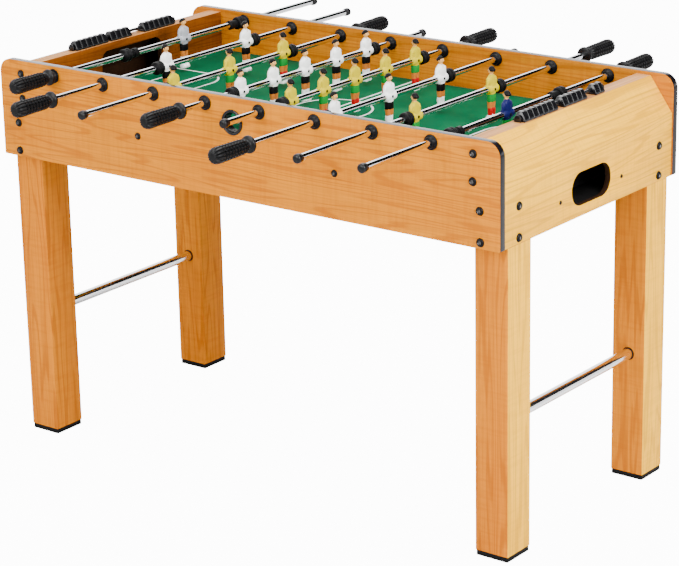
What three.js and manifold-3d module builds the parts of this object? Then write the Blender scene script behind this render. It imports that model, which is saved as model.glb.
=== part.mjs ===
// A foosball table: a cabinet on four legs, eight rods with twenty-two players, and two abacus scorers.
// Millimetres, +Z up. The origin is on the floor under the middle of the whole table, rods included.
// +X runs along the playing field to the right, +Y to the back.
import * as THREE from "three";
import { mergeVertices } from "three/addons/utils/BufferGeometryUtils.js";
import Module from "manifold-3d";

// --- Driving dimensions -------------------------------------------------------------------------

// Cabinet
const TABLE_LENGTH = 1215;
const TABLE_WIDTH = 612;
const TABLE_HEIGHT = 810;
const APRON_HEIGHT = 200;
const PANEL_THICKNESS = 15;
const PANEL_CORNER_RADIUS = 28;
const JOINT_GAP = 0.3; // between boards that are screwed together
const CABINET_Y = 30; // middle of the cabinet behind the origin, because the rods reach further out in front

// Folded end board: goal wall, scorer shelf, slope and outer board
const END_BOX_DEPTH = 82.5; // goal wall face to the end of the side panels
const END_SETBACK = 2.5; // outer board behind the end of the side panels
const BOARD_THICKNESS = 12;
const SHELF_DROP = 6; // shelf below the top edge of the side panels
const SHELF_WIDTH = 31;
const SLOPE_HEIGHT = 69;
const GOAL_WIDTH = 186;
const GOAL_HEIGHT = 68;
const GOAL_CORNER_RADIUS = 20;
const RETURN_WIDTH = 134;
const RETURN_HEIGHT = 64;
const RETURN_SILL = 21; // bottom of the ball-return opening above the bottom edge of the apron
const RETURN_END_FLAT = 2; // straight part of its two round ends
const CHUTE_WALL = 10;

// Legs and braces
const LEG_X = 72;
const LEG_Y = 75;
const LEG_WALL = 12;
const LEG_SPACER = 13.5; // between a side panel and the leg beside it
const LEG_INSIDE_APRON = 95;
const FOOT_HEIGHT = 8;
const FOOT_INSET = 2;
const BRACE_RADIUS = 11;
const BRACE_HEIGHT = 262;
const BRACE_SEAT = 9; // depth of the hole that each end of a brace sits in

// Playing field
const FIELD_THICKNESS = 6;
const FOOT_CLEARANCE = 8; // between the players' feet and the field

// Rods
const ROD_DROP = 19.5; // rod axis below the top edge of the side panels
const ROD_RADIUS = 6.35;
const ROD_BORE_RADIUS = 4.9;
const RUNNING_GAP = 0.3; // round a rod, at the flats of its faceted hole
const BEARING_BOSS = 8; // each bearing stands this far proud of a side panel, inside and out
const BUMPER_LENGTH = 18;
const BUMPER_RADIUS = 13.5;
const BUMPER_TO_PLAYER = 1.5;
const STOP_GAP = 0.5; // left between a bumper and its bearing at the end of the travel
const GRIP_LENGTH = 105;
const GRIP_BORE = 70;
const ROD_TAIL = 50; // rod left outside the far panel when it is pushed fully in

// Players, measured from the rod axis
const PLAYER_FOOT = 62;
const PLAYER_HALF_WIDTH = 15;
const HUB_RADIUS = 10;

// Each rod from the left end of the table: how many players, which side of the table its grip is on
// (-1 front, 1 back) and where it stands at rest, as a share of its travel either way from the middle.
const RODS = [
  { players: 1, side: -1, rest: 0.98 },
  { players: 2, side: -1, rest: 0.08 },
  { players: 3, side: 1, rest: -0.97 },
  { players: 5, side: -1, rest: 0.05 },
  { players: 5, side: 1, rest: -0.17 },
  { players: 3, side: -1, rest: -0.96 },
  { players: 2, side: 1, rest: -0.38 },
  { players: 1, side: 1, rest: -0.7 },
];
// By number of players: the travel either way, and how far the grip stays from its bearing at full push
const TRAVEL = { 1: 91.5, 2: 122, 3: 77, 5: 46 };
const GRIP_STANDOFF = { 1: 2, 2: 22, 3: 28, 5: 19 };

// Ball-entry cup in the front panel
const ENTRY_RADIUS = 18;
const ENTRY_WALL = 3;
const ENTRY_FLANGE_RADIUS = 25;
const ENTRY_FLANGE = 3;
const ENTRY_DROP = 49; // below the top edge of the panel

// Scorers: one block of beads on each shelf
const BEAD_WIDTH = 16;
const BEAD_DEPTH = 20;
const BEAD_HEIGHT = 15;
const BEADS_IN_BLOCK = { left: 6, right: 5 };
const BLOCK_START = { left: 46, right: -14 }; // front end of each block, from the middle of the shelf

// How far a cut runs past a face, and a joined solid into its neighbour
const RUN_PAST = 1;
const MERGE_WITHIN = 1e-4; // corners nearer than this are one corner

// --- Sizes worked out from the driving dimensions ------------------------------------------------

const apronBottom = TABLE_HEIGHT - APRON_HEIGHT;
const panelInnerY = TABLE_WIDTH / 2 - PANEL_THICKNESS;
const boardHalfWidth = panelInnerY - JOINT_GAP;
const goalWallX = TABLE_LENGTH / 2 - END_BOX_DEPTH;
const endFaceX = TABLE_LENGTH / 2 - END_SETBACK;
const shelfTop = TABLE_HEIGHT - SHELF_DROP;
const slopeFoot = shelfTop - SLOPE_HEIGHT;
const rodZ = TABLE_HEIGHT - ROD_DROP;
const fieldTop = rodZ - PLAYER_FOOT - FOOT_CLEARANCE;
const rodPitch = (2 * goalWallX) / RODS.length;
const legTop = apronBottom + LEG_INSIDE_APRON;
const legOuterY = panelInnerY - LEG_SPACER;
const legInnerY = legOuterY - LEG_Y;
const legInnerX = endFaceX - LEG_X;
const bumperStop = panelInnerY - BEARING_BOSS - STOP_GAP;

// --- Materials ------------------------------------------------------------------------------------

const finish = (color, roughness, metalness = 0) =>
  new THREE.MeshStandardMaterial({ color, roughness, metalness });

const wood = finish(0xd8974f, 0.45);
const paleWood = finish(0xe8bd80, 0.45);
const turf = finish(0x1f7a4a, 0.7);
const chrome = finish(0xd8dade, 0.15, 1);
const black = finish(0x17181b, 0.45);
const rubber = finish(0x141414, 0.8);
const whiteKit = finish(0xf2f2f0, 0.4);
const yellowKit = finish(0xf4dc18, 0.4);

// --- Solids ---------------------------------------------------------------------------------------

const wasm = await Module();
wasm.setup();

/** A closed three.js geometry as a solid, with its faces turned outwards. */
function solidOf(geometry) {
  const bare = geometry.index ? geometry.toNonIndexed() : geometry.clone();
  bare.deleteAttribute("normal");
  bare.deleteAttribute("uv");
  const merged = mergeVertices(bare, MERGE_WITHIN);
  const place = merged.getAttribute("position");
  const index = [];
  let volume = 0;
  const corner = [new THREE.Vector3(), new THREE.Vector3(), new THREE.Vector3()];
  for (let i = 0; i < merged.index.count; i += 3) {
    const ids = [0, 1, 2].map((k) => merged.index.getX(i + k));
    if (new Set(ids).size < 3) continue;
    ids.forEach((id, k) => corner[k].fromBufferAttribute(place, id));
    volume += corner[0].dot(corner[1].clone().cross(corner[2]));
    index.push(...ids);
  }
  if (volume < 0) index.reverse();
  return new wasm.Manifold(
    new wasm.Mesh({
      numProp: 3,
      vertProperties: new Float32Array(place.array),
      triVerts: new Uint32Array(index),
    }),
  );
}

function geometryOf(solid) {
  const mesh = solid.getMesh();
  const geometry = new THREE.BufferGeometry();
  geometry.setAttribute("position", new THREE.BufferAttribute(new Float32Array(mesh.vertProperties), 3));
  geometry.setIndex(new THREE.BufferAttribute(new Uint32Array(mesh.triVerts), 1));
  return geometry;
}

const joined = (solids) => solids.reduce((sum, next) => sum.add(next));
const without = (solid, cuts) => cuts.reduce((rest, cut) => rest.subtract(cut), solid);
const ascending = (a, b) => (a < b ? [a, b] : [b, a]);

/** A box from its lowest and highest corner. */
function block(low, high) {
  const size = high.map((value, i) => value - low[i]);
  const middle = high.map((value, i) => (value + low[i]) / 2);
  return solidOf(new THREE.BoxGeometry(...size).translate(...middle));
}

/** A round bar along Y. */
function barY(radius, from, to, x = 0, z = 0, sides = 12) {
  const bar = new THREE.CylinderGeometry(radius, radius, to - from, sides);
  return solidOf(bar.translate(x, (from + to) / 2, z));
}

/** A round hole along Y for a bar of this radius, clear of it by the gap even at the flats. */
function holeY(radius, gap, from, to, x = 0, z = 0, sides = 12) {
  return barY((radius + gap) / Math.cos(Math.PI / sides), from, to, x, z, sides);
}

/** A profile of [radius, y] points turned about the Y axis. */
function turned(profile, sides) {
  return solidOf(new THREE.LatheGeometry(profile.map(([r, y]) => new THREE.Vector2(r, y)), sides));
}

/** An outline in Y and Z, extruded along X. */
function slabAlongX(shape, from, to) {
  const slab = new THREE.ExtrudeGeometry(shape, { depth: to - from, bevelEnabled: false, curveSegments: 6 });
  slab.rotateX(Math.PI / 2).rotateZ(Math.PI / 2);
  return solidOf(slab.translate(from, 0, 0));
}

/** An outline in X and Z, extruded along Y. */
function slabAlongY(shape, from, to, curveSegments = 6) {
  const slab = new THREE.ExtrudeGeometry(shape, { depth: to - from, bevelEnabled: false, curveSegments });
  return solidOf(slab.rotateX(Math.PI / 2).translate(0, to, 0));
}

function outline(points) {
  return new THREE.Shape(points.map(([a, b]) => new THREE.Vector2(a, b)));
}

/** A rectangle whose corners are round: radii run bottom-left, bottom-right, top-right, top-left. */
function roundedRectangle(left, right, bottom, top, radii) {
  const [bl, br, tr, tl] = radii;
  const shape = new THREE.Shape();
  shape.moveTo(left + bl, bottom);
  shape.lineTo(right - br, bottom);
  if (br > 0) shape.absarc(right - br, bottom + br, br, -Math.PI / 2, 0);
  shape.lineTo(right, top - tr);
  if (tr > 0) shape.absarc(right - tr, top - tr, tr, 0, Math.PI / 2);
  shape.lineTo(left + tl, top);
  if (tl > 0) shape.absarc(left + tl, top - tl, tl, Math.PI / 2, Math.PI);
  shape.lineTo(left, bottom + bl);
  if (bl > 0) shape.absarc(left + bl, bottom + bl, bl, Math.PI, 1.5 * Math.PI);
  return shape;
}

// --- Assembly -------------------------------------------------------------------------------------

const table = new THREE.Group();
table.position.y = CABINET_Y;

function addPart(name, solid, material, { at = [0, 0, 0], flip = false, parent = table } = {}) {
  const mesh = new THREE.Mesh(geometryOf(solid), material);
  mesh.name = name;
  mesh.position.set(...at);
  mesh.rotation.z = flip ? Math.PI : 0;
  parent.add(mesh);
}

// Side panels: one board along each side, with round top corners and a hole for each rod
function sidePanel(entryHole) {
  const half = TABLE_LENGTH / 2;
  const corners = [0, 0, PANEL_CORNER_RADIUS, PANEL_CORNER_RADIUS];
  const board = slabAlongY(
    roundedRectangle(-half, half, apronBottom, TABLE_HEIGHT, corners),
    -PANEL_THICKNESS / 2,
    PANEL_THICKNESS / 2,
  );
  const holes = RODS.map((rod, i) =>
    holeY(ROD_RADIUS, RUNNING_GAP, -PANEL_THICKNESS, PANEL_THICKNESS, rodX(i), rodZ),
  );
  if (entryHole) {
    const radius = ENTRY_RADIUS + ENTRY_WALL;
    holes.push(holeY(radius, JOINT_GAP, -PANEL_THICKNESS, PANEL_THICKNESS, 0, TABLE_HEIGHT - ENTRY_DROP, 24));
  }
  return without(board, holes);
}

function rodX(i) {
  return (i + 0.5) * rodPitch - goalWallX;
}

const panelMiddleY = (TABLE_WIDTH - PANEL_THICKNESS) / 2;
addPart("side_panel_front", sidePanel(true), wood, { at: [0, -panelMiddleY, 0] });
addPart("side_panel_back", sidePanel(false), wood, { at: [0, panelMiddleY, 0] });

// End box: the folded board, its cheeks beside the legs, and the ball chute between the legs
function endBox() {
  const wall = BOARD_THICKNESS;
  const shelfEnd = goalWallX + SHELF_WIDTH;
  const slope = Math.atan2(SLOPE_HEIGHT, endFaceX - shelfEnd);
  const shelfFold = wall * Math.tan(slope / 2);
  const outerFold = wall * Math.tan((Math.PI / 2 - slope) / 2);
  const wallFoot = legTop + JOINT_GAP;
  const section = outline([
    [goalWallX, wallFoot],
    [goalWallX + wall, wallFoot],
    [goalWallX + wall, shelfTop - wall],
    [shelfEnd - shelfFold, shelfTop - wall],
    [endFaceX - wall, slopeFoot - outerFold],
    [endFaceX - wall, apronBottom],
    [endFaceX, apronBottom],
    [endFaceX, slopeFoot],
    [shelfEnd, shelfTop],
    [goalWallX, shelfTop],
  ]);
  const folded = slabAlongY(section, -boardHalfWidth, boardHalfWidth);
  const innerX = [goalWallX + wall / 2, endFaceX - wall / 2];
  const cheekInnerY = legOuterY + JOINT_GAP;
  const cheekSection = outline([
    [goalWallX + wall / 2, wallFoot],
    [legInnerX, wallFoot],
    [legInnerX, apronBottom],
    [endFaceX - wall / 2, apronBottom],
    [endFaceX - wall / 2, slopeFoot - outerFold / 2],
    [shelfEnd - shelfFold / 2, shelfTop - wall / 2],
    [goalWallX + wall / 2, shelfTop - wall / 2],
  ]);
  const chuteOuterY = legInnerY - JOINT_GAP;
  const chuteInnerY = chuteOuterY - CHUTE_WALL;
  const sill = apronBottom + RETURN_SILL;
  const parts = [folded];
  const chuteFoot = sill - CHUTE_WALL;
  const chuteTop = wallFoot + CHUTE_WALL;
  for (const side of [-1, 1]) {
    const cheek = ascending(side * cheekInnerY, side * boardHalfWidth);
    parts.push(slabAlongY(cheekSection, ...cheek));
    const chute = ascending(side * chuteInnerY, side * chuteOuterY);
    parts.push(block([innerX[0], chute[0], chuteFoot], [innerX[1], chute[1], chuteTop]));
    const ledge = ascending(side * chuteInnerY, side * (boardHalfWidth - RUN_PAST));
    parts.push(block([innerX[0], ledge[0], wallFoot], [innerX[1], ledge[1], chuteTop]));
  }
  parts.push(block([innerX[0], -chuteOuterY, chuteFoot], [innerX[1], chuteOuterY, sill]));
  const lowWallTop = wallFoot + RUN_PAST;
  parts.push(block([goalWallX, -chuteOuterY, chuteFoot], [goalWallX + wall, chuteOuterY, lowWallTop]));
  const goal = roundedRectangle(-GOAL_WIDTH / 2, GOAL_WIDTH / 2, fieldTop, fieldTop + GOAL_HEIGHT, [
    0,
    0,
    GOAL_CORNER_RADIUS,
    GOAL_CORNER_RADIUS,
  ]);
  const ballReturn = roundedRectangle(
    -RETURN_WIDTH / 2,
    RETURN_WIDTH / 2,
    sill,
    sill + RETURN_HEIGHT,
    Array(4).fill(RETURN_HEIGHT / 2 - RETURN_END_FLAT / 2),
  );
  return without(joined(parts), [
    slabAlongX(goal, goalWallX - RUN_PAST, goalWallX + wall + RUN_PAST),
    slabAlongX(ballReturn, endFaceX - wall - RUN_PAST, endFaceX + RUN_PAST),
  ]);
}

addPart("end_box_right", endBox(), paleWood);
addPart("end_box_left", endBox(), paleWood, { flip: true });

// Playing field
addPart(
  "playing_field",
  block(
    [JOINT_GAP - goalWallX, -boardHalfWidth, fieldTop - FIELD_THICKNESS],
    [goalWallX - JOINT_GAP, boardHalfWidth, fieldTop],
  ),
  turf,
);

// Legs: hollow square posts, open at the top, rebated behind the end board, with a hole for the brace
function leg(inwardX, inwardY) {
  const post = block([0, 0, FOOT_HEIGHT], [LEG_X, LEG_Y, legTop]);
  const footFar = [LEG_X - FOOT_INSET, LEG_Y - FOOT_INSET, FOOT_HEIGHT + RUN_PAST];
  const foot = block([FOOT_INSET, FOOT_INSET, 0], footFar);
  const hollow = block(
    [LEG_WALL, LEG_WALL, FOOT_HEIGHT + LEG_WALL],
    [LEG_X - LEG_WALL, LEG_Y - LEG_WALL, legTop + RUN_PAST],
  );
  const rebateDepth = BOARD_THICKNESS + JOINT_GAP;
  const rebate = inwardX < 0 ? [LEG_X - rebateDepth, LEG_X + RUN_PAST] : [-RUN_PAST, rebateDepth];
  const shoulder = block(
    [rebate[0], -RUN_PAST, apronBottom - JOINT_GAP],
    [rebate[1], LEG_Y + RUN_PAST, legTop + RUN_PAST],
  );
  const seat = inwardY > 0 ? [LEG_Y - BRACE_SEAT, LEG_Y + RUN_PAST] : [-RUN_PAST, BRACE_SEAT];
  const socket = holeY(BRACE_RADIUS, JOINT_GAP, ...seat, LEG_X / 2, BRACE_HEIGHT);
  return without(post.add(foot), [hollow, shoulder, socket]);
}

for (const [endName, endSign] of [["left", -1], ["right", 1]]) {
  for (const [sideName, sideSign] of [["front", -1], ["back", 1]]) {
    const x = endSign < 0 ? -endFaceX : endFaceX - LEG_X;
    const y = sideSign < 0 ? -legOuterY : legOuterY - LEG_Y;
    addPart(`leg_${sideName}_${endName}`, leg(-endSign, -sideSign), wood, { at: [x, y, 0] });
  }
  const braceEnd = legInnerY + BRACE_SEAT - JOINT_GAP;
  const braceAt = [endSign * (endFaceX - LEG_X / 2), 0, BRACE_HEIGHT];
  addPart(`leg_brace_${endName}`, barY(BRACE_RADIUS, -braceEnd, braceEnd), chrome, { at: braceAt });
}

// Ball-entry cup through the front panel
function entryCup() {
  const outer = ENTRY_RADIUS + ENTRY_WALL;
  return turned(
    [
      [ENTRY_RADIUS, -ENTRY_FLANGE],
      [ENTRY_FLANGE_RADIUS, -ENTRY_FLANGE],
      [ENTRY_FLANGE_RADIUS, 0],
      [outer, 0],
      [outer, PANEL_THICKNESS + ENTRY_FLANGE],
      [ENTRY_RADIUS, PANEL_THICKNESS + ENTRY_FLANGE],
      [ENTRY_RADIUS, -ENTRY_FLANGE],
    ],
    24,
  );
}

addPart("ball_entry_cup", entryCup(), black, {
  at: [0, -TABLE_WIDTH / 2 - JOINT_GAP, TABLE_HEIGHT - ENTRY_DROP],
});

// Scorer beads: a row of ridged beads on each shelf
function beadBlock(count) {
  const half = BEAD_DEPTH / 2;
  const ridge = outline([
    [-half, 0],
    [half, 0],
    [half, BEAD_HEIGHT * 0.35],
    [half * 0.4, BEAD_HEIGHT],
    [-half * 0.4, BEAD_HEIGHT],
    [-half, BEAD_HEIGHT * 0.35],
  ]);
  return slabAlongY(ridge, 0, count * BEAD_WIDTH);
}

for (const [endName, endSign] of [["left", -1], ["right", 1]]) {
  addPart(`score_beads_${endName}`, beadBlock(BEADS_IN_BLOCK[endName]), black, {
    at: [endSign * (goalWallX + SHELF_WIDTH / 2), BLOCK_START[endName], shelfTop + JOINT_GAP],
  });
}

// Rods. Everything is laid out along Y from the middle of the rod, with the rod axis at the origin.
const rodHole = (from, to) => holeY(ROD_RADIUS, RUNNING_GAP, from, to);

function player() {
  const depth = 14;
  const torso = outline([
    [-10.5, -9],
    [10.5, -9],
    [11.5, 4],
    [PLAYER_HALF_WIDTH, 17],
    [12, 25.5],
    [5, 28],
    [-5, 28],
    [-12, 25.5],
    [-PLAYER_HALF_WIDTH, 17],
    [-11.5, 4],
  ]);
  const legs = outline([
    [-9.5, -PLAYER_FOOT + 10],
    [9.5, -PLAYER_FOOT + 10],
    [11.5, -8],
    [-11.5, -8],
  ]);
  const foot = outline([
    [-7, -PLAYER_FOOT],
    [6, -PLAYER_FOOT],
    [9.5, -PLAYER_FOOT + 5],
    [6, -PLAYER_FOOT + 15],
    [-6, -PLAYER_FOOT + 15],
    [-8, -PLAYER_FOOT + 3],
  ]);
  const head = new THREE.SphereGeometry(8, 8, 6).scale(1, 0.9, 1.12).rotateX(Math.PI / 2).translate(0, 0, 34);
  return joined([
    barY(HUB_RADIUS, -PLAYER_HALF_WIDTH + 1, PLAYER_HALF_WIDTH - 1),
    slabAlongX(torso, -depth / 2, depth / 2),
    slabAlongX(legs, -5.5, 5.5),
    slabAlongY(foot, -10, 10),
    solidOf(head),
  ]).subtract(rodHole(-PLAYER_HALF_WIDTH - RUN_PAST, PLAYER_HALF_WIDTH + RUN_PAST));
}

function bumper() {
  const half = BUMPER_LENGTH / 2;
  const bore = (ROD_RADIUS + RUNNING_GAP) / Math.cos(Math.PI / 12);
  return turned(
    [
      [bore, -half],
      [BUMPER_RADIUS - 2, -half],
      [BUMPER_RADIUS, -half + 3],
      [BUMPER_RADIUS, half - 3],
      [BUMPER_RADIUS - 2, half],
      [bore, half],
      [bore, -half],
    ],
    12,
  );
}

/** A grip that starts at y = 0 beside the panel and ends at GRIP_LENGTH. */
function grip() {
  const sides = 8;
  const bore = (ROD_RADIUS + RUNNING_GAP) / Math.cos(Math.PI / sides);
  return turned(
    [
      [0, GRIP_BORE],
      [bore, GRIP_BORE],
      [bore, 0],
      [15.5, 0],
      [16.5, 5],
      [12, 9],
      [12.5, 40],
      [15.5, GRIP_LENGTH - 18],
      [14, GRIP_LENGTH - 6],
      [8, GRIP_LENGTH],
      [0, GRIP_LENGTH],
    ],
    sides,
  );
}

const playerSolid = player();
const bumperSolid = bumper();
const gripSolid = grip();

RODS.forEach(({ players, side, rest }, i) => {
  const name = `rod_${i + 1}`;
  const travel = TRAVEL[players];
  const assembly = new THREE.Group();
  assembly.position.set(rodX(i), rest * travel, rodZ);
  table.add(assembly);
  const put = (part, solid, material, y, flip) =>
    addPart(`${name}_${part}`, solid, material, { at: [0, y, 0], flip, parent: assembly });

  const bumperY = bumperStop - travel - BUMPER_LENGTH / 2;
  const outerPlayerY = bumperY - BUMPER_LENGTH / 2 - BUMPER_TO_PLAYER - PLAYER_HALF_WIDTH;
  const gripY = TABLE_WIDTH / 2 + BEARING_BOSS + travel + GRIP_STANDOFF[players];
  const tailY = TABLE_WIDTH / 2 + travel + ROD_TAIL;
  const ends = ascending(side * (gripY + GRIP_BORE - JOINT_GAP), -side * tailY);
  const bore = barY(ROD_BORE_RADIUS, ends[0] - RUN_PAST, ends[1] + RUN_PAST);
  const tube = barY(ROD_RADIUS, ...ends).subtract(bore);

  put("tube", tube, chrome, 0, false);
  put("grip", gripSolid, black, side * gripY, side < 0);
  put("bumper", bumperSolid, rubber, bumperY, false);
  const kit = side < 0 ? whiteKit : yellowKit;
  if (players === 1) {
    put("goalkeeper", playerSolid, kit, 0, side > 0);
  } else {
    for (let n = 0; n < players; n += 1) {
      const y = outerPlayerY * ((2 * n) / (players - 1) - 1);
      put(`player_${n + 1}`, playerSolid, kit, y, side > 0);
    }
  }
});

export default table;
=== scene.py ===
"""A foosball table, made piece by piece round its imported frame. Metres, +Z up, the floor at z = 0."""

import math

import bmesh
import bpy
from mathutils import Matrix, Vector


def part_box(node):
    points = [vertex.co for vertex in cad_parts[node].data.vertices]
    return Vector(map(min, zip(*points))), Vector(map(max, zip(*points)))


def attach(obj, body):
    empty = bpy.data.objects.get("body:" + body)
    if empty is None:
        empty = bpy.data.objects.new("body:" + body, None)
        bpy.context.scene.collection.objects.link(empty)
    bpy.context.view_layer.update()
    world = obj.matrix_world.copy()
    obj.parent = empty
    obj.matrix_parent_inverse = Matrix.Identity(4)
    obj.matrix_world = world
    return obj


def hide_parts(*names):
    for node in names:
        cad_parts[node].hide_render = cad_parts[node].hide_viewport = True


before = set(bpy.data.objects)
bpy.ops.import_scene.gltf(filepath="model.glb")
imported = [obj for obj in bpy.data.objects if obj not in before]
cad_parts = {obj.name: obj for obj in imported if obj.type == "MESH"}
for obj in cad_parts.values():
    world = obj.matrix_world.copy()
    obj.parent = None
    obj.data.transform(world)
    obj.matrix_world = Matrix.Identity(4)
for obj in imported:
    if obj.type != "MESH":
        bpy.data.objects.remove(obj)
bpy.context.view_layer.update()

# ---------------------------------------------------------------------------------------------------
# Studio. The table stands alone on a pale floor and is seen from its right front corner, a little
# from above. A big soft light hangs to the right, a weaker one fills the long side from the front.



def add_object(name, data, *materials):
    """Puts a mesh, lamp or camera in the scene as an object at the origin."""
    made = bpy.data.objects.new(name, data)
    bpy.context.scene.collection.objects.link(made)
    for material in materials:
        data.materials.append(material)
    return made


CAMERA_PLACE = (2.971, -3.800, 1.960)
CAMERA_YAW, CAMERA_PITCH, CAMERA_ROLL = 0.6579, -0.3192, -0.0204
camera_data = bpy.data.cameras.new("camera")
camera_data.sensor_width = 36.0
camera_data.lens = 133.56
camera_data.clip_end = 100.0
camera = add_object("camera", camera_data)
camera.matrix_world = (
    Matrix.Translation(CAMERA_PLACE)
    @ Matrix.Rotation(CAMERA_YAW, 4, "Z")
    @ Matrix.Rotation(math.pi / 2 + CAMERA_PITCH, 4, "X")
    @ Matrix.Rotation(CAMERA_ROLL, 4, "Z")
)
bpy.context.scene.camera = camera


def feed(node, inputs):
    """Gives each named input of a node a value or a link."""
    for socket, value in inputs.items():
        if isinstance(value, bpy.types.NodeSocket):
            node.id_data.links.new(value, node.inputs[socket])
        else:
            node.inputs[socket].default_value = value


def add_node(tree, kind, inputs=None, **settings):
    """Adds one node with its settings and inputs."""
    made = tree.nodes.new(kind)
    for key, value in settings.items():
        setattr(made, key, value)
    feed(made, inputs or {})
    return made


def maths(tree, operation, *values):
    """The result of one sum."""
    return add_node(tree, "ShaderNodeMath", dict(enumerate(values)), operation=operation).outputs[0]


def remap(tree, value, to_low, to_high, from_low=0.0, from_high=1.0, **settings):
    """A value moved from one span to another and held inside it."""
    spans = {"From Min": from_low, "From Max": from_high, "To Min": to_low, "To Max": to_high}
    return add_node(tree, "ShaderNodeMapRange", {"Value": value, **spans}, **settings).outputs["Result"]


def ramp(tree, value, *stops):
    """A colour picked by a value between two stops, each (position, colour)."""
    made = add_node(tree, "ShaderNodeValToRGB", {"Fac": value})
    for element, (position, colour) in zip(made.color_ramp.elements, stops):
        element.position = position
        element.color = colour
    return made.outputs["Color"]


def soft_light(name, place, aim, size, power):
    """A square area light at a place, turned towards a point."""
    lamp = bpy.data.lights.new(name, "AREA")
    lamp.size = size
    lamp.energy = power
    holder = add_object(name, lamp)
    holder.location = place
    holder.rotation_euler = (Vector(aim) - Vector(place)).to_track_quat("-Z", "Y").to_euler()


soft_light("key_light", (3.6, -0.6, 2.6), (0.0, 0.0, 0.6), size=2.2, power=335.0)
soft_light("front_light", (-0.6, -4.2, 2.4), (0.0, 0.0, 0.5), size=2.6, power=225.0)
soft_light("top_light", (0.2, 0.6, 3.4), (0.0, 0.0, 0.7), size=2.0, power=110.0)

# The room is white. One dark patch high on its back wall is what the polished rods mirror as a black line
ROOM_LIGHT, ROOM_MIRRORED, ROOM_SEEN = 0.65, 3.2, 15.0
PATCH_LOW, PATCH_LEFT, PATCH_NEAR, PATCH_FAR, PATCH_EDGE = 0.1, -0.2, 0.45, 0.55, 0.05
WHITE, DARK = (1.0, 1.0, 1.0, 1.0), (0.003, 0.003, 0.003, 1.0)
world = bpy.data.worlds.new("studio")
world.use_nodes = True
sky = world.node_tree
sky.nodes.clear()
direction = add_node(sky, "ShaderNodeTexCoord").outputs["Generated"]
parts = add_node(sky, "ShaderNodeSeparateXYZ", {"Vector": direction}).outputs
level = ramp(sky, parts["Z"], (PATCH_LOW, WHITE), (PATCH_LOW + PATCH_EDGE, DARK))
beside = remap(sky, parts["X"], 0.0, 1.0, PATCH_LEFT, PATCH_LEFT - PATCH_EDGE)
before = remap(sky, parts["Y"], 0.0, 1.0, PATCH_FAR, PATCH_NEAR)
band = maths(sky, "MAXIMUM", level, maths(sky, "MAXIMUM", beside, before))
ray = add_node(sky, "ShaderNodeLightPath").outputs
strength = remap(sky, ray["Is Glossy Ray"], ROOM_LIGHT, ROOM_MIRRORED)
room = add_node(sky, "ShaderNodeBackground", {"Color": band, "Strength": strength}).outputs[0]
backdrop = add_node(sky, "ShaderNodeBackground", {"Color": WHITE, "Strength": ROOM_SEEN}).outputs[0]
mixed = add_node(sky, "ShaderNodeMixShader", {0: ray["Is Camera Ray"], 1: room, 2: backdrop})
add_node(sky, "ShaderNodeOutputWorld", {"Surface": mixed.outputs[0]})
bpy.context.scene.world = world

CORNERS = ((-1, -1), (1, -1), (1, 1), (-1, 1))
FLOOR_HALF, FLOOR_GLOW = 30.0, 0.85
floor_mesh = bpy.data.meshes.new("floor")
floor_mesh.from_pydata([(a * FLOOR_HALF, b * FLOOR_HALF, 0) for a, b in CORNERS], [], [(0, 1, 2, 3)])
floor_paint = bpy.data.materials.new("white_floor")
floor_paint.use_nodes = True
sweep = floor_paint.node_tree
sweep.nodes.clear()
matt = add_node(sweep, "ShaderNodeBsdfDiffuse", {"Color": (0.9, 0.9, 0.9, 1.0)}).outputs[0]
glow = add_node(sweep, "ShaderNodeEmission", {"Color": WHITE, "Strength": ROOM_SEEN}).outputs[0]
watched = add_node(sweep, "ShaderNodeLightPath").outputs["Is Camera Ray"]
share = maths(sweep, "MULTIPLY", watched, FLOOR_GLOW)
white = add_node(sweep, "ShaderNodeMixShader", {0: share, 1: matt, 2: glow})
add_node(sweep, "ShaderNodeOutputMaterial", {"Surface": white.outputs[0]})
add_object("floor", floor_mesh, floor_paint)

# ---------------------------------------------------------------------------------------------------
# Side panels. Two 15 mm boards with wood-grain laminate on both faces and round top corners. A dark
# plastic edge band is wrapped round them. They are bored for the rod bearings, the front one for the cup.

MM = 0.001


def rgb(red, green, blue):
    """A colour given as a screen shows it, from 0 to 255, as the light values that a shader takes."""
    return tuple(
        c / 12.92 if c <= 0.04045 else ((c + 0.055) / 1.055) ** 2.4
        for c in (red / 255, green / 255, blue / 255)
    ) + (1.0,)


def new_material(name):
    """A material with its node tree, its shader and the object's own coordinates."""
    material = bpy.data.materials.new(name)
    material.use_nodes = True
    tree = material.node_tree
    place = add_node(tree, "ShaderNodeTexCoord").outputs["Object"]
    return material, tree, tree.nodes["Principled BSDF"], place


def noise(tree, place, scale, detail=2.0, roughness=0.5, distortion=0.0):
    """The level of a cloudy noise."""
    look = {"Scale": scale, "Detail": detail, "Roughness": roughness, "Distortion": distortion}
    return add_node(tree, "ShaderNodeTexNoise", {"Vector": place, **look}).outputs["Fac"]


def blend(tree, share, one, two, **settings):
    """The first colour with a share of the second in it."""
    inputs = {"Factor": share, "A": one, "B": two}
    return add_node(tree, "ShaderNodeMix", inputs, data_type="RGBA", **settings).outputs[2]


def bumped(tree, height, strength, distance):
    """The surface's direction, tipped by a height."""
    inputs = {"Height": height, "Strength": strength, "Distance": distance}
    return add_node(tree, "ShaderNodeBump", inputs).outputs["Normal"]


FLAME_SHADE, PORE_SHADE, FIGURE_SHADE = 0.52, 0.4, 0.2  # how dark each kind of grain line is


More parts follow.
